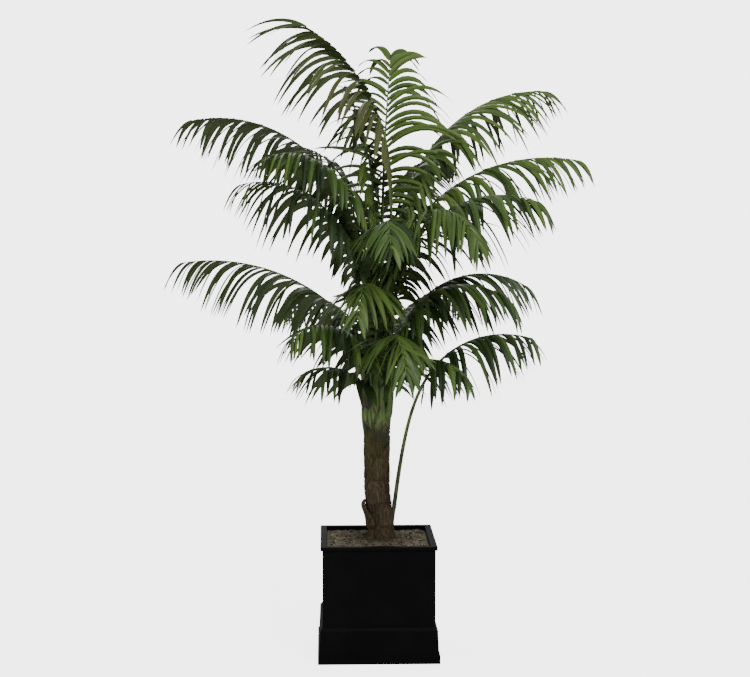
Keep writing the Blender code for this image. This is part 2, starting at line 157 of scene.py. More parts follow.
def sheet_faces(rows, columns, wrap_rows, wrap_columns):
    """Corner numbers of the four-sided faces of a grid of points, as whole arrays.

    Face (i, j) joins point (i, j) to the next in its row and column; a wrapped direction joins
    its last points to its first.
    """
    i = np.arange(rows if wrap_rows else rows - 1)[:, None]
    j = np.arange(columns if wrap_columns else columns - 1)[None]
    i, j = np.broadcast_arrays(i, j)
    below, beside = (i + 1) % rows, (j + 1) % columns
    corners = (i * columns + j, i * columns + beside, below * columns + beside,
               below * columns + j)
    return np.stack(corners, -1).reshape(-1, 4)


def add_piece(name, points, faces, materials, smooth_angle):
    """A shown piece from points and faces, smooth up to an angle, riding on the plant's body."""
    mesh = bpy.data.meshes.new(name)
    mesh.from_pydata(points.reshape(-1, 3).tolist(), [], faces)
    for finish in materials:
        mesh.materials.append(finish.material)
    mesh.shade_smooth()
    mesh.set_sharp_from_angle(angle=np.radians(smooth_angle))
    mesh.update()
    piece = bpy.data.objects.new(name, mesh)
    bpy.context.scene.collection.objects.link(piece)
    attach(piece, BODY)
    return piece


def lofted(name, points, materials, smooth_angle=35, wrap_rows=False):
    """A closed piece from rings of points: its sides, and a flat face over each end ring."""
    rows, columns = points.shape[:2]
    faces = sheet_faces(rows, columns, wrap_rows, True).tolist()
    if not wrap_rows:
        faces.append(list(range(columns))[::-1])
        faces.append(list(range((rows - 1) * columns, rows * columns)))
    return add_piece(name, points, faces, materials, smooth_angle)


def eased(corners, ease, closed, steps=3):
    """A polyline with its corners rounded.

    Each corner becomes points on the parabola through its two tangent points, with a further
    point just outside each, which keeps the flats flat when shaded.
    """
    corners = np.array(corners, float)
    share = np.linspace(0.0, 1.0, steps + 1)[:, None]
    line = []
    for number, corner in enumerate(corners):
        if not closed and number in (0, len(corners) - 1):
            line.append(corner[None])
            continue
        before = corners[number - 1] - corner
        after = corners[(number + 1) % len(corners)] - corner
        before /= np.linalg.norm(before)
        after /= np.linalg.norm(after)
        start, end = corner + ease * before, corner + ease * after
        curve = (1 - share)**2 * start + 2 * share * (1 - share) * corner + share**2 * end
        outside = 0.6 * ease
        line += [(start + outside * before)[None], curve, (end + outside * after)[None]]
    return np.concatenate(line)


def round_square(profile, ease=CORNER_EASE, steps=4):
    """Rings of a square with eased corners, one for each (half width, height) of a profile.

    A ring's points are its corner plus the arc of a small circle set in from both sides, with a
    point just before and after the arc, turned by quarters of a turn.
    """
    angle = np.linspace(0.0, np.pi / 2, steps + 1)
    arc = ease * np.stack([np.cos(angle) - 1, np.sin(angle) - 1], -1)
    beyond = 1.6 * ease
    corner = np.concatenate([[[0.0, -beyond]], arc, [[-beyond, 0.0]]])
    quarter = np.arange(4) * np.pi / 2
    turn = np.array([[np.cos(quarter), -np.sin(quarter)], [np.sin(quarter), np.cos(quarter)]])
    profile = np.asarray(profile)
    local = profile[:, None, :1] + corner[None]
    flat = np.einsum("abq,rcb->rqca", turn, local).reshape(len(profile), -1, 2)
    height = np.broadcast_to(profile[:, None, 1:], (*flat.shape[:2], 1))
    return np.concatenate([flat, height], -1)


planter_black = Finish("planter_black", (0.0016, 0.0016, 0.0018), 0.56, specular=0.08)
where = planter_black.place()
peel = planter_black.noise(where, 520.0, 2.0)
cloud = planter_black.noise(where, 9.0, 4.0, 0.6)
planter_black.feed("Roughness", 0.46 + 0.20 * cloud)
dusty_black = planter_black.ramp(cloud, (0.45, (0.0014, 0.0014, 0.0016)),
                                 (0.80, (0.0033, 0.0032, 0.0031)))
planter_black.feed("Base Color", dusty_black)
planter_black.bump(peel, 0.00012, 0.6)

half = BOX_WIDTH / 2
inner = half - WALL
box_profile = eased(((half, 0.0), (half, BOX_HEIGHT), (inner, BOX_HEIGHT),
                     (inner, FLOOR_THICKNESS)), EDGE_EASE, closed=False)
planter_wall = lofted("planter_wall", round_square(box_profile), [planter_black])
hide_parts("planter_box")


# The lip is a flat square frame of the same plastic, glued on the top edge of the box and standing
# a few millimetres proud of it all round.

LIP_HALF = 0.200
LIP_FOOT = 0.392
LIP_TOP = 0.405
LIP_EASE = 0.0018

lip_corners = ((LIP_HALF, LIP_FOOT), (LIP_HALF, LIP_TOP), (inner, LIP_TOP), (inner, LIP_FOOT))
lip = lofted("planter_lip_frame", round_square(eased(lip_corners, LIP_EASE, closed=True)),
             [planter_black], wrap_rows=True)
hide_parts("planter_lip")


# The plinth is a moulded skirt round the foot of the box. Its face leans out a little to a foot
# strip, and its top edge is bevelled back to the wall.

PLINTH_SEAT = half + 0.0003
PLINTH_TOP = 0.125
SHOULDER_HALF = 0.202
SHOULDER_HEIGHT = 0.115
SKIRT_HALF = 0.206
FOOT_STRIP_HALF = 0.210
FOOT_STRIP_HEIGHT = 0.028
PLINTH_EDGE_EASE = 0.0012
PLINTH_CORNER_EASE = 0.0036

plinth_corners = ((FOOT_STRIP_HALF, 0.0), (FOOT_STRIP_HALF, FOOT_STRIP_HEIGHT),
                  (SKIRT_HALF, FOOT_STRIP_HEIGHT), (SHOULDER_HALF, SHOULDER_HEIGHT),
                  (PLINTH_SEAT, PLINTH_TOP), (PLINTH_SEAT, 0.0))
plinth_rings = round_square(eased(plinth_corners, PLINTH_EDGE_EASE, closed=True),
                            PLINTH_CORNER_EASE)
plinth = lofted("planter_plinth_skirt", plinth_rings, [planter_black],
                wrap_rows=True)
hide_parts("planter_plinth")


# Potting soil fills the planter to a finger's width under the lip, drawn up a little round the
# trunk. Its top is crumbly, with ripples and lumps.

SOIL_LEVEL = 0.3895
MOUND_RISE = 0.0080
MOUND_RADIUS = 0.088
SOIL_HALF = inner - 0.0004
SOIL_FOOT = 0.0203
SOIL_STEPS = 150
CRUMB = 0.0030


def ripples(points, finest, waves, seed):
    """Uneven relief in -1 to 1 at points: a mean of sine waves.

    Each wave has its own random direction, phase and length, between the finest and eight times
    it, and the long ones weigh more.
    """
    random = np.random.default_rng(seed)
    direction = random.normal(size=(waves, 3))
    direction /= np.linalg.norm(direction, axis=1, keepdims=True)
    length = finest * 8 ** random.random(waves)
    weight = (length / finest)**0.6
    phase = random.uniform(0, 2 * np.pi, waves)
    turns = points @ (direction * (2 * np.pi / length)[:, None]).T + phase
    return (np.sin(turns) * weight).sum(-1) / np.sqrt((weight**2).sum())


def soil_height(x, y):
    """The level, a cosine mound round the trunk, and crumbs that die out at the walls."""
    distance = np.hypot(x, y)
    out = np.clip((distance - MOUND_RADIUS) / (SOIL_HALF - MOUND_RADIUS), 0, 1)
    mound = MOUND_RISE * (1 + np.cos(np.pi * out)) / 2
    place = np.stack([x, y, 0 * x], -1)
    crumbs = (ripples(place, finest=0.008, waves=60, seed=11) * 0.6
              + np.abs(ripples(place, finest=0.004, waves=60, seed=12)) * 0.5)
    return SOIL_LEVEL + mound + CRUMB * (crumbs - 0.4)


def darker_by_the_trunk(finish, colour):
    """The colour, turned darker and olive-brown within a hand's width of the trunk."""
    level = finish.place((1.0, 1.0, 0.0))
    out = finish.node("VectorMath", {"operation": "LENGTH"}, {0: level}, "Value")
    near = finish.node("MapRange", {}, {"Value": out + 0.03 * (finish.noise(level, 30.0) - 0.5),
                                        "From Min": 0.150, "From Max": 0.050})
    return finish.mix(0.80 * near, colour, (0.036, 0.034, 0.013))


soil_finish = Finish("potting_soil", (0.085, 0.070, 0.052), 0.95, specular=0.2)
where = soil_finish.place()
grain = soil_finish.noise(where, 210.0, 5.0, 0.7)
patch = soil_finish.noise(where, 22.0, 3.0, 0.6)
crumb_colour = soil_finish.ramp(
    grain, (0.30, (0.045, 0.038, 0.026)), (0.52, (0.150, 0.130, 0.090)),
    (0.72, (0.290, 0.260, 0.195)))
mossy = soil_finish.mix(0.35 * patch, crumb_colour, (0.150, 0.155, 0.075))
soil_finish.feed("Base Color", darker_by_the_trunk(soil_finish, mossy))
soil_finish.bump(grain, 0.0020, 0.8)

side = np.linspace(-SOIL_HALF, SOIL_HALF, SOIL_STEPS)
grid_x, grid_y = np.meshgrid(side, side)
top = np.stack([grid_x, grid_y, soil_height(grid_x, grid_y)], -1).reshape(-1, 3)
corner_number = np.arange(SOIL_STEPS**2).reshape(SOIL_STEPS, SOIL_STEPS)
rim = np.concatenate([corner_number[0], corner_number[1:, -1], corner_number[-1, -2::-1],
                      corner_number[-2:0:-1, 0]])
foot = top[rim] * (1, 1, 0) + (0, 0, SOIL_FOOT)
soil_points = np.concatenate([top, foot])
low = len(top) + np.arange(len(rim))
soil_faces = sheet_faces(SOIL_STEPS, SOIL_STEPS, False, False).tolist()
soil_faces += np.stack([rim, low, np.roll(low, -1), np.roll(rim, -1)], -1).tolist()
soil_faces.append(low[::-1].tolist())
soil_bed = add_piece("soil_bed", soil_points, soil_faces, [soil_finish], 60)
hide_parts("soil")


# Bark chips and bits of coir lie on the soil as a loose mulch, dark where they are damp and paler
# where they have dried.

CHIPS = 900
COIR_BITS = 420


def scattered(count, low_size, high_size, tilt, seed):
    """Small irregular blocks lying about on the soil.

    A block is a cube's corners, each pushed by a random share, scaled to its own size, tilted a
    little, turned about the upright and set down on the soil's height.
    """
    random = np.random.default_rng(seed)
    cube = np.array([(x, y, z) for z in (-1, 1) for y in (-1, 1) for x in (-1, 1)], float)
    corners = cube * random.uniform(0.55, 1.0, (count, 8, 3))
    size = random.uniform(low_size, high_size, (count, 3)) / 2
    corners *= size[:, None]
    lean = random.normal(0, np.radians(tilt), (count, 2))
    corners[..., 2] += corners[..., 0] * lean[:, :1] + corners[..., 1] * lean[:, 1:]
    turn = random.uniform(0, 2 * np.pi, count)[:, None]
    x = corners[..., 0] * np.cos(turn) - corners[..., 1] * np.sin(turn)
    y = corners[..., 0] * np.sin(turn) + corners[..., 1] * np.cos(turn)
    reach = SOIL_HALF - 0.012
    centre = random.uniform(-reach, reach, (count, 2))
    lifted = soil_height(centre[:, 0], centre[:, 1]) + size[:, 2] * 0.5
    return np.stack([x + centre[:, :1], y + centre[:, 1:],
                     corners[..., 2] + lifted[:, None]], -1)


def joined_blocks(name, corners, finishes, seed):
    """One piece from many blocks, each dealt one of the finishes."""
    block = np.array([(0, 2, 3, 1), (4, 5, 7, 6), (0, 1, 5, 4), (2, 6, 7, 3), (0, 4, 6, 2),
                      (1, 3, 7, 5)])
    faces = (block[None] + 8 * np.arange(len(corners))[:, None, None]).reshape(-1, 4)
    piece = add_piece(name, corners, faces.tolist(), finishes, 20)
    dealt = np.random.default_rng(seed).integers(0, len(finishes), len(corners))
    piece.data.polygons.foreach_set("material_index", np.repeat(dealt, 6).astype(np.int32))
    return piece


chip_finishes = []
for name, colour in (("damp", (0.040, 0.032, 0.022)), ("bark", (0.120, 0.092, 0.060)),
                     ("dry", (0.270, 0.230, 0.165)), ("grey", (0.200, 0.190, 0.150))):
    chip = Finish("chip_" + name, colour, 0.92, specular=0.2)
    streak = chip.noise(chip.place((1.0, 1.0, 3.0)), 260.0, 3.0, 0.6)
    grain = chip.mix(streak, tuple(0.45 * part for part in colour),
                     tuple(1.35 * part for part in colour))
    chip.feed("Base Color", darker_by_the_trunk(chip, grain))
    chip.bump(streak, 0.0008, 0.6)
    chip_finishes.append(chip)
chips = scattered(CHIPS, low_size=(0.004, 0.003, 0.0012), high_size=(0.020, 0.008, 0.0040),
                  tilt=14, seed=21)
joined_blocks("bark_chips", chips, chip_finishes, seed=22)
coir = scattered(COIR_BITS, low_size=(0.012, 0.0008, 0.0008), high_size=(0.034, 0.0014, 0.0013),
                 tilt=8, seed=23)
joined_blocks("coir_bits", coir, chip_finishes[1:3], seed=24)


# The trunk is a short woody column, swollen where it meets the soil and wrapped in matted brown
# fibre. Faint slanting rings mark where old leaves were.

TRUNK_HEIGHTS = (0.3983, 0.418, 0.445, 0.475, 0.515, 0.570, 0.640, 0.700, 0.740, 0.790)
TRUNK_RADII = (0.0530, 0.0470, 0.0445, 0.0435, 0.0440, 0.0430, 0.0415, 0.0430, 0.0445, 0.0435)
TRUNK_CENTRES = (0.011, 0.012, 0.012, 0.010, 0.005, 0.000, -0.002, -0.002, -0.002, -0.002)
LOBE_FADE = 0.035
SCARS_PER_METRE = 24.0
SCAR_DEPTH = 0.0022
SCAR_SHARPNESS = 0.006


def smooth_through(heights, values, at):
    """Values at heights read from a polyline after a short running mean has eased its corners."""
    fine = np.linspace(heights[0], heights[-1], 400)
    weight = np.hanning(41)
    padded = np.pad(np.interp(fine, heights, values), 20, mode="reflect", reflect_type="odd")
    return np.interp(at, fine, np.convolve(padded, weight / weight.sum(), "valid"))


def trunk_radius(height):
    """The trunk's radius at heights, smoothed."""
    return smooth_through(TRUNK_HEIGHTS, TRUNK_RADII, height)


def trunk_centre(height):
    """How far the trunk's middle lies to the right at heights, smoothed."""
    return smooth_through(TRUNK_HEIGHTS, TRUNK_CENTRES, height)


def fibre_finish(name, dark, middle, pale, roughness=0.92):
    """Matted plant fibre: upright streaks in three browns, greener high up, with a fine bump."""
    finish = Finish(name, middle, roughness, specular=0.2)
    strand = finish.noise(finish.place((1.0, 1.0, 0.09)), 330.0, 4.0, 0.65)
    blotch = finish.noise(finish.place((1.0, 1.0, 0.5)), 26.0, 4.0, 0.6)
    streak = finish.ramp(strand, (0.30, dark), (0.50, middle), (0.70, pale))
    shade = tuple(0.40 * part for part in dark)
    height = finish.node("SeparateXYZ", {}, {0: finish.node("TexCoord", {}, {}, "Object")}, "Z")
    green = finish.node("MapRange", {}, {"Value": height + 0.20 * (blotch - 0.5),
                                         "From Min": 0.60, "From Max": 0.80})
    tinted = finish.mix(0.65 * green, streak, (0.075, 0.085, 0.026))
    finish.feed("Base Color", finish.mix(0.75 - 1.2 * blotch, tinted, shade))
    finish.bump(strand, 0.0016, 0.9)
    return finish


trunk_fibre = fibre_finish("trunk_fibre", (0.016, 0.011, 0.006), (0.058, 0.042, 0.022),
                           (0.130, 0.100, 0.062))
height = np.linspace(TRUNK_HEIGHTS[0], TRUNK_HEIGHTS[-1], 170)[:, None]
angle = np.linspace(0, 2 * np.pi, 144, endpoint=False)[None]

# The radius is the trunk's own, plus lobes that die out above the soil and ridges all over, less
# a narrow groove at each scar. The scars slant a little round the trunk.
lobes = 0.0050 * np.cos(5 * angle + 0.8) + 0.0035 * np.cos(8 * angle + 2.1)
lobes = lobes * np.exp(-(height - TRUNK_HEIGHTS[0]) / LOBE_FADE)
around = np.stack(np.broadcast_arrays(0.045 * np.cos(angle), 0.045 * np.sin(angle),
                                      0.10 * height), -1)
ridges = (0.0016 * ripples(around, finest=0.0035, waves=90, seed=31)
          + 0.0022 * ripples(around, finest=0.014, waves=50, seed=32))
scar = height + 0.010 * np.sin(angle + 0.5) + 0.004 * np.sin(3 * angle)
grooves = -SCAR_DEPTH * np.exp(-((scar * SCARS_PER_METRE) % 1.0 - 0.5)**2 / SCAR_SHARPNESS)
radius = trunk_radius(height) + lobes + ridges + grooves
trunk_points = np.stack(np.broadcast_arrays(trunk_centre(height) + radius * np.cos(angle),
                                            radius * np.sin(angle), height), -1)
trunk = lofted("trunk_column", trunk_points, [trunk_fibre], smooth_angle=50)
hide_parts("trunk")


# Stubs of old leaf bases sit on the trunk, each a dry brown clasp that grew round it and was cut
# off above. The one on the left stands out furthest, where the trunk begins to swell.

# The trunk and the crown shaft over it, as one limb.
LIMB_HEIGHTS = TRUNK_HEIGHTS + (0.830, 0.880, 0.930, 1.020, 1.100, 1.160, 1.190)
LIMB_RADII = TRUNK_RADII + (0.0475, 0.0530, 0.0540, 0.0430, 0.0340, 0.0265, 0.0120)
LIMB_CENTRES = TRUNK_CENTRES + (-0.003, -0.005, -0.003, 0.002, 0.006, 0.008, 0.008)
UP = np.array([0.0, 0.0, 1.0])
STUB_RINGS = 26
STUB_SIDES = 20
STUB_LEAN = 4.0
STUB_SINK = 0.0010

Stub = namedtuple("Stub", "heading foot_height height half_width stand_off thickness")
STUBS = (
    Stub(186, 0.438, 0.098, 0.046, 0.0230, 0.0110), Stub(250, 0.520, 0.085, 0.050, 0.0090, 0.0045),
    Stub(30, 0.590, 0.080, 0.046, 0.0080, 0.0045), Stub(122, 0.478, 0.085, 0.050, 0.0070, 0.0045),
    Stub(312, 0.440, 0.075, 0.048, 0.0060, 0.0045), Stub(78, 0.655, 0.070, 0.044, 0.0065, 0.0040),
    Stub(205, 0.640, 0.085, 0.048, 0.0060, 0.0040), Stub(335, 0.668, 0.062, 0.042, 0.0055, 0.0035),
    Stub(285, 0.610, 0.080, 0.046, 0.0055, 0.0040),
)


def heading_vector(degrees):
    """Level arrows of length 1 in headings."""
    angle = np.radians(degrees)
    return np.stack([np.cos(angle), np.sin(angle), 0 * angle], -1)


def limb_radius(height):
    """The limb's radius at heights, read straight from its table."""
    return np.interp(height, LIMB_HEIGHTS, LIMB_RADII)


def limb_axis(height):
    """Points on the limb's middle line at heights."""
    across = np.interp(height, LIMB_HEIGHTS, LIMB_CENTRES)
    return np.stack([across, 0 * height, height], -1)


def clasping_rings(height, heading, distance, lean, half_width, outer, inner, sides):
    """Rings of a stalk that clasps the limb low down and stands free of it higher up.

    Every ring is an oval, half_width across, with its own depths outside and inside. Its width
    runs round the limb's axis on the circle of the ring's distance, so that it clasps the limb
    where that distance is small and is flat where it is large. Its depth runs along the outward
    normal of a stalk with that lean. All but sides are arrays with a value for each ring.
    """
    turn = np.linspace(0, 2 * np.pi, sides, endpoint=False)[None]
    width = np.minimum(half_width, 2.75 * distance)[:, None] * np.cos(turn)
    depth = np.where(np.sin(turn) > 0, outer[:, None], inner[:, None]) * np.sin(turn)
    radial = heading_vector(np.degrees(np.radians(heading)[:, None] + width / distance[:, None]))
    slope = np.radians(lean)[:, None, None]
    normal = radial * np.cos(slope) - UP * np.sin(slope)
    return (limb_axis(height)[:, None] + radial * distance[:, None, None]
            + normal * depth[..., None])


stub_finish = fibre_finish("old_leaf_base", (0.018, 0.012, 0.006), (0.068, 0.048, 0.026),
                           (0.150, 0.115, 0.070), roughness=0.85)
share = np.linspace(0, 1, STUB_RINGS)
for number, stub in enumerate(STUBS):
    # A stub leaves the trunk with the square of its share, bends back in over its top two fifths,
    # narrows to a ragged end, and thins to a blunt tip over its last fifth.
    height = stub.foot_height + stub.height * share
    turned_in = 1 - 0.75 * np.clip((share - 0.60) / 0.40, 0, 1)**2
    distance = trunk_radius(height) - STUB_SINK + stub.stand_off * share**2.0 * turned_in
    ragged = 0.0012 * np.sin(9.0 * share + 2.0 * number) * share
    width = stub.half_width * (1 - 0.70 * share**1.5) + ragged
    tip = np.sqrt(1 - 0.9 * np.clip(share / 0.2 - 4, 0, 1)**2)
    depth = stub.thickness * (1.0 - 0.35 * share) * tip
    rings = clasping_rings(height, np.full(STUB_RINGS, float(stub.heading)), distance,
                           np.full(STUB_RINGS, STUB_LEAN), width, depth, 0.6 * depth, STUB_SIDES)
    middle = rings.mean(1, keepdims=True)
    swelling = 0.80 + 0.20 * np.minimum(1.0, share / 0.12)[:, None, None]
    rings = middle + (rings - middle) * swelling
    lofted(f"old_leaf_base_{number + 1}", rings, [stub_finish], smooth_angle=45)


# Loose strands of brown fibre lie on the trunk and hang off it, thinner than a match. They are
# what is left of the mats that held the old leaf bases together.

STRANDS = 240
STRAND_RINGS = 12
STRAND_LOWEST = 0.402
STRAND_HIGHEST = 0.810


def strand_tubes(name, lines, thickness, finish):
    """One piece of many thin three-sided tubes, each along its own line and tapered to its end.

    Each ring is three points round the line, on the two directions that stand square to it.
    """
    count, steps = lines.shape[:2]
    along = np.gradient(lines, axis=1)
    along /= np.linalg.norm(along, axis=2, keepdims=True)
    first = np.cross(along, np.array([0.31, 0.95, 0.07]))
    first /= np.linalg.norm(first, axis=2, keepdims=True)
    second = np.cross(along, first)
    turn = (np.arange(3) * 2 * np.pi / 3)[:, None]
    reach = thickness[:, None, None, None] * np.linspace(1, 0.45, steps)[:, None, None] / 2
    ring = lines[:, :, None] + reach * (first[:, :, None] * np.cos(turn)
                                        + second[:, :, None] * np.sin(turn))
    offset = 3 * steps * np.arange(count)[:, None, None]
    faces = (sheet_faces(steps, 3, False, True)[None] + offset).reshape(-1, 4).tolist()
    start = np.array([2, 1, 0]) + offset[:, 0]
    end = np.array([0, 1, 2]) + 3 * (steps - 1) + offset[:, 0]
    faces += start.tolist() + end.tolist()
    return add_piece(name, ring, faces, [finish], 80)


# A strand runs up or down from its foot, bends and waves a little to one side, and comes loose
# with the square of its share, most of them hardly at all.
random = np.random.default_rng(41)
low = random.uniform(0.415, 0.780, STRANDS)[:, None]
length = random.uniform(0.030, 0.100, STRANDS)[:, None]
way = np.where(random.random(STRANDS) < 0.55, -1.0, 1.0)[:, None]
start_angle = random.uniform(0, 2 * np.pi, STRANDS)[:, None]
share = np.linspace(0, 1, STRAND_RINGS)[None]
height = np.clip(low + way * length * share, STRAND_LOWEST, STRAND_HIGHEST)
bend = random.normal(0, 0.35, STRANDS)[:, None] * share
wave = 0.06 * np.sin(random.uniform(6, 14, STRANDS)[:, None] * share + start_angle)
angle = start_angle + bend + wave
loose = random.exponential(0.0035, STRANDS)[:, None] * share**2
distance = limb_radius(height) + 0.0022 + np.minimum(loose, 0.016)
strands = limb_axis(height) + heading_vector(np.degrees(angle)) * distance[..., None]
strand_tubes("trunk_strands", strands, random.uniform(0.0006, 0.0016, STRANDS), trunk_fibre)


# The crown shaft is the short green column on the trunk, where the leaf sheaths grow out of each
# other. Inside them is a core, matted with fibre like the trunk but still green.

CORE_HEIGHTS = (0.7403, 0.820, 0.920, 1.020, 1.100, 1.150, 1.185)
CORE_RADII = (0.0425, 0.0330, 0.0270, 0.0230, 0.0200, 0.0150, 0.0060)
CORE_RELIEF = 0.0012

core_finish = fibre_finish("crown_core", (0.018, 0.022, 0.007), (0.048, 0.060, 0.018),
                           (0.100, 0.120, 0.045), roughness=0.8)
height = np.linspace(CORE_HEIGHTS[0], CORE_HEIGHTS[-1], 90)[:, None]
angle = np.linspace(0, 2 * np.pi, 72, endpoint=False)[None]
around = np.stack(np.broadcast_arrays(0.035 * np.cos(angle), 0.035 * np.sin(angle),
                                      0.08 * height), -1)
radius = (np.interp(height, CORE_HEIGHTS, CORE_RADII)
          + CORE_RELIEF * ripples(around, finest=0.005, waves=60, seed=51))
middle = np.interp(height, LIMB_HEIGHTS, LIMB_CENTRES)
core_points = np.stack(np.broadcast_arrays(middle + radius * np.cos(angle),
                                           radius * np.sin(angle), height), -1)
core = lofted("crown_core", core_points, [core_finish], smooth_angle=50)
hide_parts("crown_shaft")


# Each leaf's stalk starts as a sheath wrapped round the shaft, with thin brown margins. It narrows
# to a green stalk that is round below and flat above, and runs on as the rib of the blade.

CROWN_X = 0.008
COURSE_STEPS = 1200
STALK_BEND_POWER = 3.0
STALK_RADII = (0.0080, 0.0050, 0.0012)      # at the foot, at the blade, at the tip
STALK_SIDES = 16
STALK_FLATNESS = 0.55
SHEATH_FOOT = 0.7450
SHEATH_DEPTH = 0.200
SHEATH_RAGGEDNESS = 0.022
SHEATH_HALF_WIDTH = 0.042
SHEATH_THICKNESS = 0.0030
SHEATH_INNER_SHARE = 0.4
SHEATH_LAYER = 0.0021
LAYER_FADES_IN = 0.03
LAYER_PAST_FOOT = 0.04
LAYER_FADES_OUT = 0.06
LEAST_DISTANCE = 0.006
SHEATH_CLEAR = 0.0025
SHEATH_SINK = 0.0045
SHEATH_SINK_LENGTH = 0.05
SHEATH_CLOSES = 0.085
SHEATH_LEAVES_SHAFT = 0.22
TRUNK_SHEATH_DEPTH = 0.045
TRUNK_SHEATH_HALF_WIDTH = 0.020
TRUNK_SHEATH_CLEAR = 0.002
TRUNK_SHEATH_CLOSES = 0.03
SHEATH_LEAVES_TRUNK = 0.14
TRUNK_STALK_GIRTH = 1.3
GREEN_SHEATHS_ABOVE = 1.12
CLOSE_MARKS_TO = 0.12
LAID_UP_TO = 0.30
LAID_FADE = 0.12
JOIN_ROUNDING = 0.004

# Each leaf: its name and heading; the heading, distance from the axis and height of its foot; its
# lean at the foot; its stalk's length and lean at the blade; its blade's length and lean at the
# tip; its longest leaflet, their droop, the blade's roll, and its kind.
Leaf = namedtuple("Leaf", "name heading foot_heading foot_distance foot_height lean_foot stalk"
                  " lean_stalk blade lean_tip leaflet droop roll kind")
LEAVES = (
    Leaf("left_low", 188, 180, 0.035, 0.800, 2, 0.38, 42, 0.64, 99, 0.33, 1.35, 0, "deep"),
    Leaf("right_low", 12, 12, 0.035, 0.825, 4, 0.37, 34, 0.50, 124, 0.31, 1.25, 0, "deep"),
    Leaf("right_lowest", -28, -10, 0.046, 0.490, 9, 0.53, 38, 0.41, 103, 0.29, 1.35, 0, "deep"),
    Leaf("right_inner", -18, -22, 0.035, 0.870, 7, 0.33, 33, 0.43, 138, 0.25, 1.0, 0,
         "middle"),
    Leaf("front_right_low", -48, -50, 0.035, 0.800, 5, 0.18, 44, 0.38, 132, 0.21, 1.1, 0,
         "middle"),
    Leaf("front_low", -82, -82, 0.035, 0.800, 5, 0.24, 36, 0.48, 146, 0.23, 1.0, 0, "fresh_and_lit"),
    Leaf("front_left_low", -130, -124, 0.035, 0.800, 4, 0.26, 38, 0.44, 120, 0.24, 1.1, 0,
         "middle"),
    Leaf("left_lowest", -138, -152, 0.035, 0.800, 4, 0.16, 50, 0.31, 112, 0.20, 1.1, 0, "middle"),
    Leaf("back_right_low", 58, 58, 0.035, 0.800, 5, 0.30, 40, 0.60, 120, 0.24, 1.3, 0, "deep"),
    Leaf("back_left_low", 122, 122, 0.035, 0.800, 5, 0.28, 40, 0.62, 120, 0.24, 1.3, 0, "deep"),
    Leaf("front_middle", -100, -106, 0.036, 0.930, 6, 0.28, 34, 0.46, 144, 0.22, 1.0, 0,
         "fresh_and_lit"),
    Leaf("left_middle", 208, 200, 0.035, 1.020, 8, 0.45, 28, 0.47, 104, 0.30, 1.35, 0, "deep"),
    Leaf("left_high", 170, 158, 0.035, 1.050, 5, 0.60, 31.5, 0.61, 102, 0.32, 1.35, 0, "deep"),
    Leaf("top_left", 188, -70, 0.013, 1.140, -6, 0.735, 21, 0.42, 60, 0.37, 1.0, -30, "olive"),
    Leaf("top", 70, 60, 0.013, 1.150, 1, 0.45, 5, 0.50, 16, 0.34, 0.85, 0, "young"),
    Leaf("inner", 165, 180, 0.013, 1.150, 0, 0.46, 5, 0.36, 23, 0.22, 1.1, 0, "fresh_and_lit"),
    Leaf("right_high", 20, 26, 0.033, 1.150, 6, 0.56, 30, 0.59, 91, 0.33, 1.05, 10, "fresh_and_lit"),
    Leaf("right_middle", -6, -8, 0.035, 1.100, 7, 0.48, 44, 0.57, 101, 0.30, 1.15, 0, "fresh_and_lit"),
    Leaf("right_front", -32, -38, 0.035, 1.050, 8, 0.385, 34, 0.545, 110, 0.33, 1.15, 15,
         "middle"),
    Leaf("front_right", -56, -63, 0.035, 1.050, 7, 0.38, 28, 0.52, 146, 0.27, 1.0, 0, "fresh_and_lit"),
    Leaf("front", -88, -87, 0.035, 1.050, 5, 0.34, 30, 0.50, 138, 0.22, 0.9, 0, "middle"),
    Leaf("front_left", -142, -131, 0.035, 1.050, 7, 0.52, 22, 0.48, 118, 0.22, 1.2, 0,
         "middle"),
    Leaf("back_right", 61, 62, 0.035, 1.100, 7, 0.42, 26, 0.60, 111, 0.22, 1.1, 0, "deep"),
    Leaf("back_left", 130, 128, 0.035, 1.100, 7, 0.46, 24, 0.58, 111, 0.22, 1.1, 0, "deep"),
    Leaf("back", 95, 94, 0.035, 1.050, 7, 0.30, 34, 0.60, 121, 0.22, 1.1, 0, "deep"),
)


def leaf_course(leaf, mark):
    """Points on a leaf's middle line at marks along it, and its lean there in degrees.

    From the foot to the blade the lean grows with the cube of the share of the stalk, and then
    evenly along the blade. The line is the sum of small steps that lean so in the leaf's heading.
    Below the foot it runs straight down.
    """
    fine = np.linspace(0, leaf.stalk + leaf.blade, COURSE_STEPS)
    lean = (leaf.lean_foot
            + (leaf.lean_stalk - leaf.lean_foot)
            * np.clip(fine / leaf.stalk, 0, 1)**STALK_BEND_POWER
            + (leaf.lean_tip - leaf.lean_stalk)
            * np.clip((fine - leaf.stalk) / leaf.blade, 0, 1))
    slope = np.radians(lean)
    step = fine[1]
    sideways = np.concatenate([[0], np.cumsum((np.sin(slope[1:]) + np.sin(slope[:-1])) / 2)])
    upwards = np.concatenate([[0], np.cumsum((np.cos(slope[1:]) + np.cos(slope[:-1])) / 2)])
    forward = np.interp(mark, fine, step * sideways)[:, None]
    rise = np.interp(mark, fine, step * upwards) + np.minimum(mark, 0)
    foot = (np.array([CROWN_X, 0, leaf.foot_height])
            + leaf.foot_distance * heading_vector(leaf.foot_heading))
    points = foot + forward * heading_vector(leaf.heading) + rise[:, None] * UP
    return points, np.interp(mark, fine, lean)


def eased_step(value):
    """A smooth step: 0 below 0, 1 above 1, and three squares less two cubes between."""
    value = np.clip(value, 0, 1)
    return value * value * (3 - 2 * value)


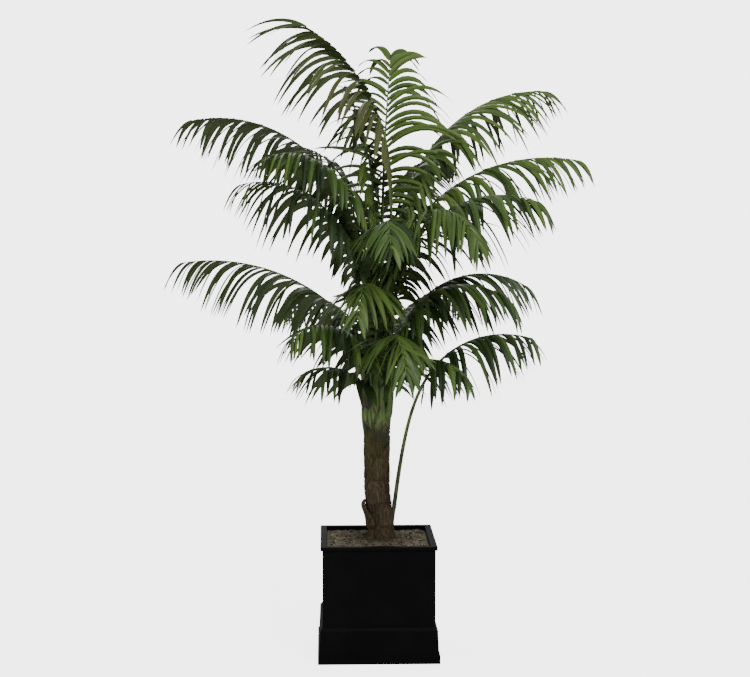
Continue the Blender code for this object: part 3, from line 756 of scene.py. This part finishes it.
def sheath_depth(leaf):
    """How far below a leaf's foot its sheath starts.

    No sheath starts under the crown shaft's foot, and by a sine of its leaf's heading each of
    those that reach it starts a little higher or lower.
    """
    if leaf.foot_height < SHEATH_FOOT:
        return TRUNK_SHEATH_DEPTH
    ragged = SHEATH_RAGGEDNESS * (1 + np.sin(1.7 * leaf.heading))
    return min(SHEATH_DEPTH, leaf.foot_height - SHEATH_FOOT - ragged)


def sheath_distance(leaf, height):
    """How far from the shaft's axis a sheath lies at heights.

    It lies on the shaft, less a layer for each sheath that is outside it there. The lower a
    leaf's foot, the further out its sheath.
    """
    order = [other.name for other in sorted(LEAVES, key=lambda other: other.foot_height)]
    outside = 0
    for other in LEAVES:
        if order.index(other.name) < order.index(leaf.name) and other.foot_height > SHEATH_FOOT:
            start = other.foot_height - sheath_depth(other)
            end = other.foot_height + LAYER_PAST_FOOT
            outside = outside + (eased_step((height - start) / LAYER_FADES_IN)
                                 * eased_step((end - height) / LAYER_FADES_OUT))
    laid = limb_radius(height) + SHEATH_CLEAR - SHEATH_LAYER * outside
    return np.maximum(laid, LEAST_DISTANCE)


stalk_finish = Finish("stalk_green", (0.050, 0.090, 0.024), 0.48, specular=0.45)
tone = stalk_finish.node("Attribute", {"attribute_name": "tone"}, {}, "Fac")
streak = stalk_finish.noise(stalk_finish.place((1.0, 1.0, 0.07)), 260.0, 3.0, 0.6)
blotch = stalk_finish.noise(stalk_finish.place((1.0, 1.0, 0.35)), 40.0, 3.0, 0.6)
shade = tone + 0.85 * (streak - 0.5) + 0.50 * (blotch - 0.5)
browns_to_greens = stalk_finish.ramp(
    shade, (0.06, (0.022, 0.018, 0.008)), (0.26, (0.060, 0.055, 0.020)),
    (0.44, (0.128, 0.156, 0.042)), (0.68, (0.158, 0.240, 0.054)), (0.98, (0.090, 0.178, 0.031)))
stripe = stalk_finish.noise(stalk_finish.place((1.0, 1.0, 0.10)), 105.0, 2.0, 0.5)
between = stalk_finish.node("MapRange", {}, {"Value": stripe, "From Min": 0.40,
                                             "From Max": 0.56})
striped = stalk_finish.mix(between, (0.026, 0.045, 0.009), browns_to_greens)
stalk_finish.feed("Base Color", striped)
stalk_finish.feed("Roughness", 0.78 - 0.32 * tone)
stalk_finish.bump(streak, 0.0016, 0.8)

for leaf in LEAVES:
    depth = sheath_depth(leaf)
    on_trunk = leaf.foot_height < SHEATH_FOOT
    if on_trunk:
        wide, closes, leaves_limb = (TRUNK_SHEATH_HALF_WIDTH, TRUNK_SHEATH_CLOSES,
                                     SHEATH_LEAVES_TRUNK)
    else:
        wide, closes, leaves_limb = SHEATH_HALF_WIDTH, SHEATH_CLOSES, SHEATH_LEAVES_SHAFT
    mark = np.concatenate([np.linspace(-depth, CLOSE_MARKS_TO, 34)[:-1],
                           np.linspace(CLOSE_MARKS_TO, leaf.stalk, 22)[:-1],
                           np.linspace(leaf.stalk, leaf.stalk + leaf.blade, 34)])
    line, lean = leaf_course(leaf, mark)
    height = line[:, 2]

    # The distance from the limb's axis is the greater of the free line's and the laid sheath's,
    # rounded where they meet. The sheath's own lower edge sinks into those under it.
    offset = line - limb_axis(height)
    heading = np.degrees(np.unwrap(np.arctan2(offset[:, 1], offset[:, 0])))
    free = np.hypot(offset[:, 0], offset[:, 1])
    laid = limb_radius(height) + TRUNK_SHEATH_CLEAR if on_trunk else sheath_distance(leaf, height)
    laid = laid - SHEATH_SINK * (1 - eased_step((mark + depth) / SHEATH_SINK_LENGTH))
    laid = laid * eased_step((leaf.foot_height + LAID_UP_TO - height) / LAID_FADE)
    distance = (free + laid + np.sqrt((free - laid)**2 + JOIN_ROUNDING**2)) / 2

    # From a wide thin sheath, each ring closes to the round stalk.
    radius = np.interp(mark, (0, leaf.stalk, leaf.stalk + leaf.blade), STALK_RADII)
    radius = radius * (TRUNK_STALK_GIRTH if on_trunk else 1.0)
    spread = np.clip((mark + depth) / (depth + closes), 0, 1)
    fill = eased_step(spread)
    half_width = radius + (wide - radius) * (1 - spread)**1.1
    outer_depth = SHEATH_THICKNESS + (radius - SHEATH_THICKNESS) * fill
    thin = SHEATH_INNER_SHARE * SHEATH_THICKNESS
    inner_depth = thin + (STALK_FLATNESS * radius - thin) * fill
    rings = clasping_rings(height, heading, distance, lean, half_width, outer_depth, inner_depth,
                           STALK_SIDES)
    clasping = 1 - eased_step((mark + 0.02) / leaves_limb)
    middle = line + (rings.mean(1) - line) * clasping[:, None]
    rings += (middle - rings.mean(1))[:, None]
    stalk = lofted("stalk_and_rib_" + leaf.name, rings, [stalk_finish],
                   smooth_angle=60)

    # The tone runs from brown at the sheath's foot and margins to green on the stalk.
    margin = np.abs(np.cos(np.linspace(0, 2 * np.pi, STALK_SIDES, endpoint=False)))**6
    greener = 0.40 * (leaf.foot_height > GREEN_SHEATHS_ABOVE)
    tones = ((0.10 + greener + (0.85 - greener) * eased_step(spread * 1.05))[:, None]
             - 0.30 * margin * (1 - fill)[:, None])
    if on_trunk:
        tones = tones * (0.22 + 0.60 * eased_step(mark / 0.6))[:, None]
    toned = stalk.data.attributes.new("tone", "FLOAT", "POINT")
    toned.data.foreach_set("value", tones.ravel().astype(np.float32))
    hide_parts("stalk_" + leaf.name)


# The blade is a comb of long narrow leaflets along both sides of the rib. Each is leathery, folded
# a little down its middle, widest below the half, pointed, and hangs in an arch from the rib.

TRUNK_BARE_SHARE = 0.94
LEAFLET_WIDTH = 0.0262
LEAFLET_STEPS = 11
FOOT_ANGLE = 56
TIP_ANGLE = 28
ANGLE_SPREAD = 5.0
DROOP_SPREAD = 0.18
TWIST = 38
TWIST_SPREAD = 14
LEAFLET_LIFT = 0.03
END_FULLNESS = 0.70
LONGEST_AT = 0.425
DROOP_AT_RIB = 0.12
DROOP_GAIN = 1.8
FOLD = 0.20
LEAFLET_THICKNESS = 0.0008
LIMB_CLEARANCE = 0.012

# How each kind of leaf differs: the shares of its greens; the bare share of its stalk; the pitch
# and relative width of its leaflets, and how loosely they hang; how much shorter and stiffer they
# are at the tip, and how much wider there; and the lift and width of those on its near side.
# The olive leaf is turned edge-on, with its near side folded under the rib.
Kind = namedtuple("Kind", "greens bare pitch width looseness tip_shorter tip_stiffer tip_wider"
                  " near_lift near_width")
# The greens of the kinds are partly painted light. The deep kind, mostly in the darkest green,
# goes to the back and side leaves as painted shade. The fresh kind, mostly in the lightest green,
# goes to the leaves facing the front as painted light. Both sit over a real difference between
# older and younger leaves.
KINDS = {
    "deep": Kind({"deep": 0.72, "middle": 0.28}, 0.50, 0.025, 0.88, 1.0, 0.40, 0, 0,
                 LEAFLET_LIFT, 1.0),
    "middle": Kind({"deep": 0.30, "middle": 0.55, "fresh_and_lit": 0.15}, 0.50, 0.025, 1.0, 1.4, 0.40, 0,
                   0, LEAFLET_LIFT, 1.0),
    "fresh_and_lit": Kind({"middle": 0.50, "fresh_and_lit": 0.50}, 0.50, 0.022, 0.88, 1.7, 0.40, 0, 0,
                  LEAFLET_LIFT, 1.0),
    "young": Kind({"middle": 0.15, "fresh_and_lit": 0.85}, 0.50, 0.022, 0.76, 1.0, 0.40, 0, 1.2,
                  LEAFLET_LIFT, 1.0),
    "olive": Kind({"olive": 0.75, "middle": 0.25}, 0.66, 0.025, 0.74, 1.0, 0, 0.45, 0,
                  -0.90, 1.8),
}


def leaf_finish(name, dark, light, roughness=0.42):
    """Leathery leaf: fine veins along each leaflet, by its own map, and a slow change of green."""
    finish = Finish(name, light, roughness, specular=0.4)
    where = finish.node("UVMap", {"uv_map": "leaflet"}, {})
    across = finish.node("Mapping", {}, {"Vector": where, "Scale": (26.0, 1.6, 1.0)})
    vein = finish.noise(across, 1.0, 2.0, 0.6)
    slow = finish.noise(finish.place(), 7.0, 3.0, 0.6)
    finish.feed("Base Color", finish.mix(0.35 + 0.9 * (slow - 0.5) + 0.7 * (vein - 0.5), dark,
                                         light))
    finish.feed("Roughness", roughness - 0.10 + 0.25 * slow)
    finish.bump(vein, 0.0004, 0.5)
    return finish


# One leaf green in painted shade and painted light. The deep green is darkened to stand for the
# shade on the back and side leaves, the fresh green is lightened as painted light on the front
# leaves, and the middle green lies between them.
GREENS = {
    "deep": leaf_finish("leaf_deep_and_shaded", (0.011, 0.025, 0.005), (0.030, 0.060, 0.012)),
    "middle": leaf_finish("leaf_middle", (0.037, 0.079, 0.011), (0.082, 0.148, 0.027)),
    "fresh_and_lit": leaf_finish("leaf_fresh_and_lit", (0.066, 0.120, 0.015), (0.130, 0.206, 0.038)),
    "olive": leaf_finish("leaf_olive", (0.068, 0.080, 0.018), (0.128, 0.140, 0.044)),
    "under": leaf_finish("leaf_under", (0.050, 0.080, 0.018), (0.095, 0.130, 0.038), 0.55),
}


def leaflet_stations(leaf, random):
    """Where the leaflets of a blade start: marks along the rib, and which side each is on.

    They stand about a pitch apart on each side, the two sides half a pitch out of step.
    """
    kind = KINDS[leaf.kind]
    start = leaf.stalk * (TRUNK_BARE_SHARE if leaf.foot_height < SHEATH_FOOT else kind.bare)
    end = leaf.stalk + leaf.blade
    pitch = kind.pitch
    marks, sides = [], []
    for side in (-1, 1):
        row = np.arange(start + (0.25 + 0.25 * side) * pitch, end, pitch)
        row = row + random.normal(0, 0.10 * pitch, len(row))
        marks.append(row)
        sides.append(np.full(len(row), float(side)))
    return np.clip(np.concatenate(marks), start, end), np.concatenate(sides)


def unit(vectors):
    """Vectors over their own lengths."""
    return vectors / np.linalg.norm(vectors, axis=-1, keepdims=True)


def leaflet_rings(leaf, mark, side, random):
    """Four-point rings of every leaflet of a blade, as one array.

    A leaflet leaves the rib at an angle that falls from the blade's foot to its tip, a little
    lifted, and each step along it is pulled down by its droop, more towards its end. The longest
    are at LONGEST_AT of the blade, by a sine, and they shorten with the cube of the share towards
    its tip. A leaflet turns its face outwards by its twist, most at the rib. Its width swells
    from half at its foot to its most at a quarter and tapers to a point. Its ring is left edge,
    ridge, right edge and underside, with the edges lower than the ridge.
    """
    kind = KINDS[leaf.kind]
    count = len(mark)
    share = (mark - leaf.stalk) / leaf.blade
    line, lean = leaf_course(leaf, mark)
    slope = np.radians(lean)[:, None]
    ahead = heading_vector(leaf.heading)
    along = ahead * np.sin(slope) + UP * np.cos(slope)
    flat_side = np.broadcast_to(np.cross(ahead, UP), (count, 3))
    flat_face = np.cross(flat_side, along)
    roll = np.radians(leaf.roll)
    across = flat_side * np.cos(roll) + flat_face * np.sin(roll)
    face = flat_face * np.cos(roll) - flat_side * np.sin(roll)

    angle = np.radians(FOOT_ANGLE + (TIP_ANGLE - FOOT_ANGLE) * share
                       + random.normal(0, ANGLE_SPREAD * kind.looseness, count))[:, None]
    lift = np.where(side < 0, kind.near_lift, LEAFLET_LIFT)[:, None]
    outward = unit(side[:, None] * across + lift * face)
    first = unit(along * np.cos(angle) + outward * np.sin(angle))
    length = (leaf.leaflet
              * (END_FULLNESS + (1 - END_FULLNESS)
                 * np.sin(np.pi / 2 * np.minimum(2.0, share / LONGEST_AT)))
              * (1 - kind.tip_shorter * share**3)
              * random.uniform(0.84, 0.99, count))
    droop = leaf.droop * random.normal(1.0, DROOP_SPREAD * kind.looseness, count)
    droop = droop * (1 - kind.tip_stiffer * np.clip(share, 0, 1)**2)

    step = (np.arange(LEAFLET_STEPS) + 0.5) / LEAFLET_STEPS
    pull = droop[:, None, None] * (DROOP_AT_RIB + DROOP_GAIN * step)[:, None] * UP
    way = unit(first[:, None] - pull)
    run = np.cumsum(way, axis=1) * (length / LEAFLET_STEPS)[:, None, None]
    rib = np.interp(mark, (0, leaf.stalk, leaf.stalk + leaf.blade), STALK_RADII)[:, None]
    start = line + side[:, None] * across * rib * 0.6 + face * rib * 0.35
    spine = start[:, None] + np.concatenate([np.zeros((count, 1, 3)), run], axis=1)

    at = np.concatenate([way[:, :1], unit(way[:, 1:] + way[:, :-1]), way[:, -1:]], axis=1)
    level = unit(along * np.sin(angle) - side[:, None] * across * np.cos(angle))[:, None]
    level = unit(level - (level * at).sum(-1, keepdims=True) * at)
    upper = np.cross(at, level) * side[:, None, None]
    twist = (np.radians(random.normal(TWIST, TWIST_SPREAD, count)) * side)[:, None, None]
    twist = twist * np.linspace(1.0, 0.4, LEAFLET_STEPS + 1)[:, None]
    edge = level * np.cos(twist) + upper * np.sin(twist)
    upper = upper * np.cos(twist) - level * np.sin(twist)

    v = np.linspace(0, 1, LEAFLET_STEPS + 1)
    outline = (0.50 + 0.50 * np.sin(np.pi / 2 * np.minimum(1, v / 0.25))) * (1 - v**3.0)**0.85
    broad = LEAFLET_WIDTH * (1 - 0.42 * np.abs(share)) * random.uniform(0.88, 1.08, count)
    broad = broad * kind.width
    broad = broad * np.where((side < 0) & (share > 0.05) & (share < 0.75), kind.near_width, 1.0)
    broad = broad * (1 + kind.tip_wider * np.clip(share, 0, 1)**4)
    half = (broad[:, None] * outline / 2 + 0.0004)[..., None]
    fold = FOLD * half * 2
    thick = LEAFLET_THICKNESS * (1 - 0.7 * v)[:, None]
    left = spine - edge * half - upper * fold
    right = spine + edge * half - upper * fold
    under = spine - upper * (thick + 0.45 * fold)
    return np.stack([left, spine, right, under], 2)


# One leaflet's faces: four strips along it, of which two are its underside, and its two ends. Its
# map runs across it once and along it once.
leaflet_faces = np.concatenate([sheet_faces(LEAFLET_STEPS + 1, 4, False, True),
                                [[3, 2, 1, 0]], 4 * LEAFLET_STEPS + np.array([[0, 1, 2, 3]])])
is_under = np.concatenate([np.tile([False, False, True, True], LEAFLET_STEPS), [False, False]])
steps = np.linspace(0, 1, LEAFLET_STEPS + 1)
own_map = np.stack(np.broadcast_arrays([0.0, 0.5, 1.0, 0.5], steps[:, None]), -1).reshape(-1, 2)

for number, leaf in enumerate(LEAVES):
    random = np.random.default_rng(700 + number)
    mark, side = leaflet_stations(leaf, random)
    rings = leaflet_rings(leaf, mark, side, random)

    # A leaflet that would touch the trunk or the crown shaft is left out.
    spine = rings[:, 1:, 1]
    height = spine[..., 2]
    gap = np.linalg.norm(spine - limb_axis(height), axis=-1) - limb_radius(height)
    clear = ((gap > LIMB_CLEARANCE) | (height > LIMB_HEIGHTS[-1] + 0.02)).all(1)
    rings = rings[clear]
    side = side[clear]
    count = len(rings)

    faces = leaflet_faces[None] + (4 * (LEAFLET_STEPS + 1)) * np.arange(count)[:, None, None]
    turned = np.where(side[:, None, None] > 0, faces, faces[..., ::-1])
    greens = KINDS[leaf.kind].greens
    dealt = random.choice(len(greens), count, p=list(greens.values()))
    finishes = [GREENS[name] for name in greens] + [GREENS["under"]]
    blade = add_piece("blade_" + leaf.name, rings, turned.reshape(-1, 4).tolist(), finishes, 40)
    slots = np.where(is_under[None], len(greens), dealt[:, None])
    blade.data.polygons.foreach_set("material_index", slots.ravel().astype(np.int32))
    corner = np.empty(len(blade.data.loops), np.int32)
    blade.data.loops.foreach_get("vertex_index", corner)
    leaflet_map = blade.data.uv_layers.new(name="leaflet")
    placed = np.tile(own_map, (count, 1))[corner]
    leaflet_map.data.foreach_set("uv", placed.ravel().astype(np.float32))
    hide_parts("frond_" + leaf.name)


# The plant stands on a plain pale studio floor under soft light from large lamps, and is seen from
# a little above the middle of its height through a long lens. The floor and the air behind it glow
# only for the camera, and the floor fades into that air with distance.

FLOOR_GLOW = 4.6
BACKDROP_GLOW = 4.5
FADE_FROM = 2.5
FADE_TO = 12.0
FLOOR_RADII = (0.5, 2.0, 6.0, 14.0, 40.0)
FLOOR_SIDES = 96
FLOOR_DROP = 0.0002

floor_mesh = bpy.data.meshes.new("studio_floor")
angle = np.linspace(0, 2 * np.pi, FLOOR_SIDES, endpoint=False)
radius = np.array(FLOOR_RADII)[:, None]
floor_points = np.stack(np.broadcast_arrays(radius * np.cos(angle), radius * np.sin(angle),
                                            -FLOOR_DROP), -1)
floor_faces = sheet_faces(len(FLOOR_RADII), FLOOR_SIDES, False, True).tolist()
floor_faces.append(list(range(FLOOR_SIDES)))
floor_mesh.from_pydata(floor_points.reshape(-1, 3).tolist(), [], floor_faces)
floor = bpy.data.objects.new("studio_floor", floor_mesh)
bpy.context.scene.collection.objects.link(floor)
floor_finish = Finish("studio_floor", (0.80, 0.80, 0.80), 0.9, specular=0.1)
floor_mesh.materials.append(floor_finish.material)
dull = Value(floor_finish, floor_finish.shader.outputs[0])
lit = floor_finish.node("Emission", {}, {"Color": (0.8, 0.8, 0.8, 1.0), "Strength": FLOOR_GLOW})
near = floor_finish.node("AddShader", {}, {0: dull, 1: lit})
haze = floor_finish.node("Emission", {}, {"Color": (1.0, 1.0, 1.0, 1.0),
                                          "Strength": BACKDROP_GLOW})
out = floor_finish.node("VectorMath", {"operation": "LENGTH"},
                        {0: floor_finish.node("TexCoord", {}, {}, "Object")}, "Value")
far = floor_finish.node("MapRange", {}, {"Value": out, "From Min": FADE_FROM,
                                         "From Max": FADE_TO})
pale = floor_finish.node("MixShader", {}, {0: far, 1: near, 2: haze})
seen = floor_finish.node("LightPath", {}, {}, "Is Camera Ray")
shown = floor_finish.node("MixShader", {}, {0: seen, 1: dull, 2: pale})
floor_finish.join(shown, floor_finish.tree.nodes["Material Output"].inputs["Surface"])

world = bpy.data.worlds.new("studio")
bpy.context.scene.world = world
world.use_nodes = True
sky = Nodes(world.node_tree)
room = sky.tree.nodes["Background"]
sky.join((0.5, 0.5, 0.5, 1.0), room.inputs["Color"])
sky.join(1.0, room.inputs["Strength"])
soft = Value(sky, room.outputs[0])
bright = sky.node("Background", {}, {"Color": (1.0, 1.0, 1.0, 1.0), "Strength": BACKDROP_GLOW})
seen = sky.node("LightPath", {}, {}, "Is Camera Ray")
shown = sky.node("MixShader", {}, {0: seen, 1: soft, 2: bright})
sky.join(shown, sky.tree.nodes["World Output"].inputs["Surface"])


def studio_lamp(name, place, target, size, power):
    """A square softbox at a place, turned to face a target."""
    lamp = bpy.data.lights.new(name, "AREA")
    lamp.energy = power
    lamp.size = size
    made = bpy.data.objects.new(name, lamp)
    made.location = place
    made.rotation_euler = (Vector(target) - Vector(place)).to_track_quat("-Z", "Y").to_euler()
    bpy.context.scene.collection.objects.link(made)


studio_lamp("key_light", place=(1.8, -3.8, 4.4), target=(0, 0, 1.3), size=2.2, power=150)
studio_lamp("fill_light", place=(-3.2, -2.6, 2.4), target=(0, 0, 1.2), size=2.5, power=35)
studio_lamp("back_light", place=(-0.8, 3.8, 3.8), target=(0, 0, 1.4), size=2.5, power=50)

camera = bpy.data.objects.new("camera", bpy.data.cameras.new("camera"))
camera.data.lens = 82.2
camera.data.sensor_width = 36.0
camera.location = (-0.187, -5.95, 1.604)
camera.rotation_euler = np.radians((90 - 4.82, 0.0, -1.72))
bpy.context.scene.collection.objects.link(camera)
bpy.context.scene.camera = camera
